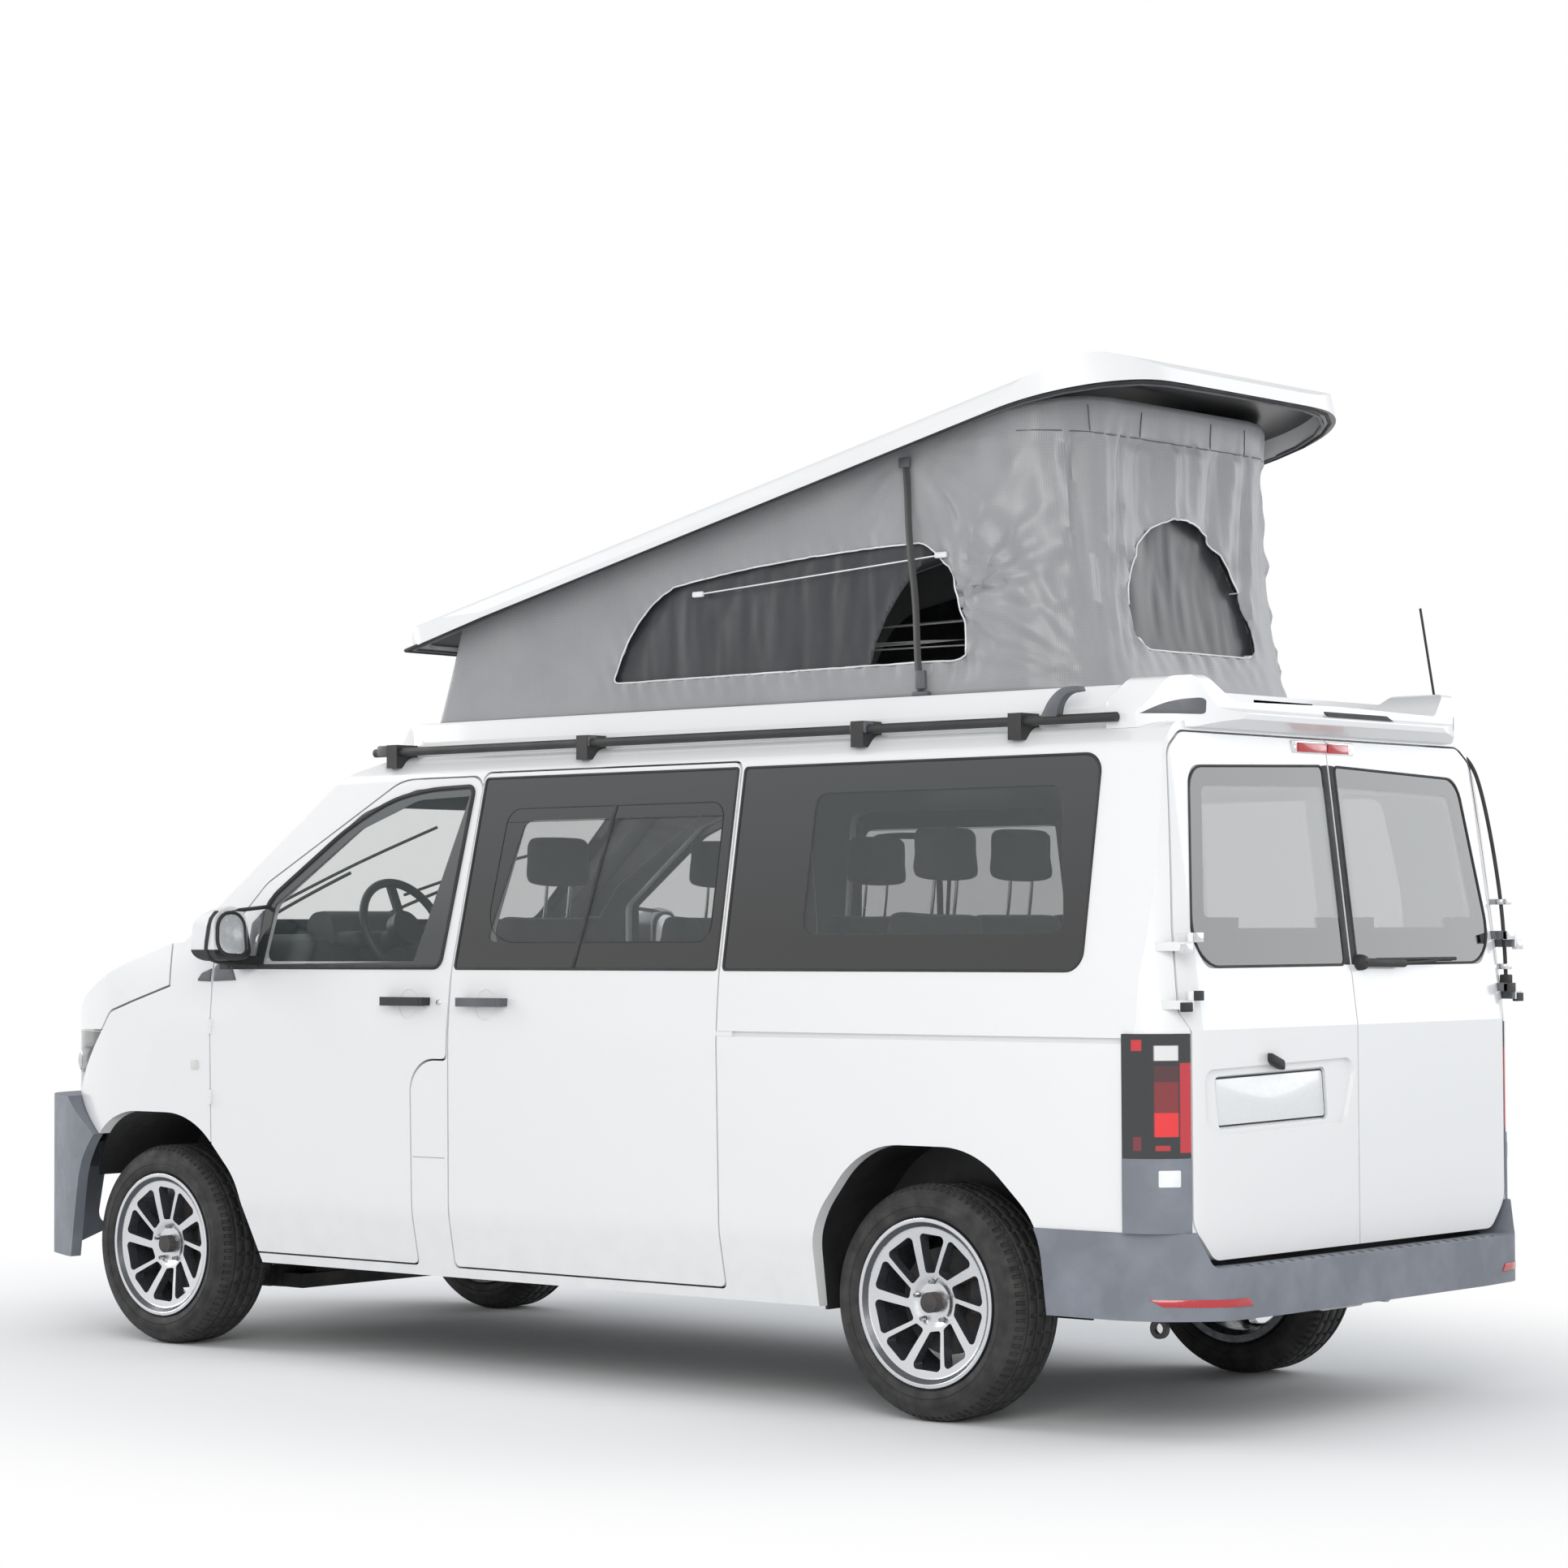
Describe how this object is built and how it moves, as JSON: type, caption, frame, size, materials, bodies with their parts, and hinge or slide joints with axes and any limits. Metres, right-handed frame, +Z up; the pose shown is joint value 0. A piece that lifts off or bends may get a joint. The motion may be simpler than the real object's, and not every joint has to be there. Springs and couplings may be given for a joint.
{
  "type": "camper van",
  "caption": "Long-wheelbase camper van with opening doors and hood, steered wheels and a tilting pop-up roof over a cloth tent.",
  "frame": {"origin": "on the ground below the middle of the van's length and width", "axes": "+X forward, +Y to the left side, +Z up"},
  "size_m": [5.304, 2.291, 3.0918],
  "materials": {
    "body_paint": "gloss white paint over a clear coat",
    "dark_glass": "privacy-tinted glass with a dark border",
    "screen_glass": "lightly tinted glass",
    "lamp_glass": "clear lamp cover over dark housings",
    "tail_glass": "red lamp lens",
    "grey_plastic": "grained grey plastic",
    "black_plastic": "grained black plastic",
    "shell_white": "white moulded roof",
    "tent_cloth": "grey woven tent cloth",
    "webbing": "black webbing",
    "seat_cloth": "dark woven seat cloth",
    "tyre_rubber": "tread rubber",
    "alloy": "machined alloy with dark pockets",
    "chassis_steel": "black chassis coating",
    "steel": "bare steel",
    "floor_cover": "dark floor covering",
    "dash_plastic": "dark grained dash"
  },
  "bodies": {
    "van": {"body_side_left": "body_paint", "body_side_right": "body_paint", "front_fenders": "body_paint", "sliding_doors": "body_paint", "roof_frame": "body_paint", "roof_bed": "body_paint", "windscreen": "screen_glass", "side_glass": "dark_glass", "headlamps": "lamp_glass", "tail_lamps": "tail_glass", "corner_trims": "grey_plastic", "cowl": "black_plastic", "grille": "black_plastic", "front_bumper": "grey_plastic", "rear_bumper": "grey_plastic", "floor_pan": "floor_cover", "bulkhead": "chassis_steel", "wheel_houses": "black_plastic", "dashboard": "dash_plastic", "seats": "seat_cloth", "seat_bases": "dash_plastic", "front_subframe": "chassis_steel", "rear_axle": "chassis_steel", "engine_block": "chassis_steel", "exhaust": "steel", "tent": "tent_cloth", "tent_straps": "webbing", "roof_rails": "black_plastic", "rear_spoiler": "body_paint", "sliding_door_handles": "body_paint", "aerial": "black_plastic", "tow_eye": "chassis_steel"},
    "front_door_left": {"front_door_left": "body_paint", "front_door_glass_left": "screen_glass", "front_door_trim_left": "black_plastic"},
    "front_door_right": {"front_door_right": "body_paint", "front_door_glass_right": "screen_glass", "front_door_trim_right": "black_plastic"},
    "rear_door_left": {"rear_door_left": "body_paint", "rear_door_glass_left": "dark_glass"},
    "rear_door_right": {"rear_door_right": "body_paint", "rear_door_glass_right": "dark_glass"},
    "hood": {"hood": "body_paint"},
    "knuckle_left": {"knuckle_left": "chassis_steel"},
    "knuckle_right": {"knuckle_right": "chassis_steel"},
    "wheel_front_left": {"tyre_front_left": "tyre_rubber", "rim_front_left": "alloy"},
    "wheel_front_right": {"tyre_front_right": "tyre_rubber", "rim_front_right": "alloy"},
    "wheel_rear_left": {"tyre_rear_left": "tyre_rubber", "rim_rear_left": "alloy"},
    "wheel_rear_right": {"tyre_rear_right": "tyre_rubber", "rim_rear_right": "alloy"},
    "steering_wheel": {"steering_wheel": "black_plastic"},
    "front_arms": {"front_arms": "black_plastic"},
    "roof_shell": {"roof_shell": "shell_white"},
    "lift_arms": {"lift_arms": "black_plastic"}
  },
  "joints": [
    {"name": "wheel_front_left_spin", "type": "hinge", "parent": "knuckle_left", "child": "wheel_front_left", "pos_m": [1.744, 0.783, 0.3435], "axis": [0, 1, 0], "continuous": true},
    {"name": "wheel_front_right_spin", "type": "hinge", "parent": "knuckle_right", "child": "wheel_front_right", "pos_m": [1.744, -0.783, 0.3435], "axis": [0, 1, 0], "continuous": true},
    {"name": "wheel_rear_left_spin", "type": "hinge", "parent": "van", "child": "wheel_rear_left", "pos_m": [-1.656, 0.783, 0.3435], "axis": [0, 1, 0], "continuous": true},
    {"name": "wheel_rear_right_spin", "type": "hinge", "parent": "van", "child": "wheel_rear_right", "pos_m": [-1.656, -0.783, 0.3435], "axis": [0, 1, 0], "continuous": true},
    {"name": "steer_left", "type": "hinge", "parent": "van", "child": "knuckle_left", "pos_m": [1.744, 0.678, 0.3435], "axis": [0, 0, 1], "range_deg": [-35, 35]},
    {"name": "steer_right", "type": "hinge", "parent": "van", "child": "knuckle_right", "pos_m": [1.744, -0.678, 0.3435], "axis": [0, 0, 1], "range_deg": [-35, 35]},
    {"name": "steering_turn", "type": "hinge", "parent": "van", "child": "steering_wheel", "pos_m": [1.036, 0.4, 1.431], "axis": [-0.9119, 0, 0.4104], "range_deg": [-525, 525]},
    {"name": "front_door_left_hinge", "type": "hinge", "parent": "van", "child": "front_door_left", "pos_m": [1.414, 0.951, 1], "axis": [0, 0, -1], "range_deg": [0, 65]},
    {"name": "front_door_right_hinge", "type": "hinge", "parent": "van", "child": "front_door_right", "pos_m": [1.414, -0.951, 1], "axis": [0, 0, 1], "range_deg": [0, 65]},
    {"name": "rear_door_left_hinge", "type": "hinge", "parent": "van", "child": "rear_door_left", "pos_m": [-2.581, 0.868, 1.3], "axis": [0, 0, -1], "range_deg": [0, 90]},
    {"name": "rear_door_right_hinge", "type": "hinge", "parent": "van", "child": "rear_door_right", "pos_m": [-2.581, -0.868, 1.3], "axis": [0, 0, 1], "range_deg": [0, 90]},
    {"name": "hood_hinge", "type": "hinge", "parent": "van", "child": "hood", "pos_m": [1.7111, 0, 1.388], "axis": [0, -1, 0], "range_deg": [0, 50]},
    {"name": "roof_lift", "type": "hinge", "parent": "van", "child": "front_arms", "pos_m": [0.187, 0, 2.14], "axis": [0, 1, 0], "range_deg": [0, 44.7], "deforming": ["tent", "tent_straps"]},
    {"name": "roof_tilt", "type": "hinge", "parent": "front_arms", "child": "roof_shell", "pos_m": [0.47134, 0, 2.44428], "axis": [0, 1, 0], "range_deg": [-57.7, 0]},
    {"name": "lift_arm_fold", "type": "hinge", "parent": "van", "child": "lift_arms", "pos_m": [-0.9, 0, 2.14], "axis": [0, 1, 0], "range_deg": [-53.6, 0]}
  ],
  "couplings": [
    {"joint": "steer_right", "follows": "steer_left", "ratio": 1},
    {"joint": "steering_turn", "follows": "steer_left", "ratio": 15},
    {"joint": "roof_tilt", "follows": "roof_lift", "ratio": -1.2883},
    {"joint": "lift_arm_fold", "follows": "roof_lift", "ratio": -1.1958}
  ]
}
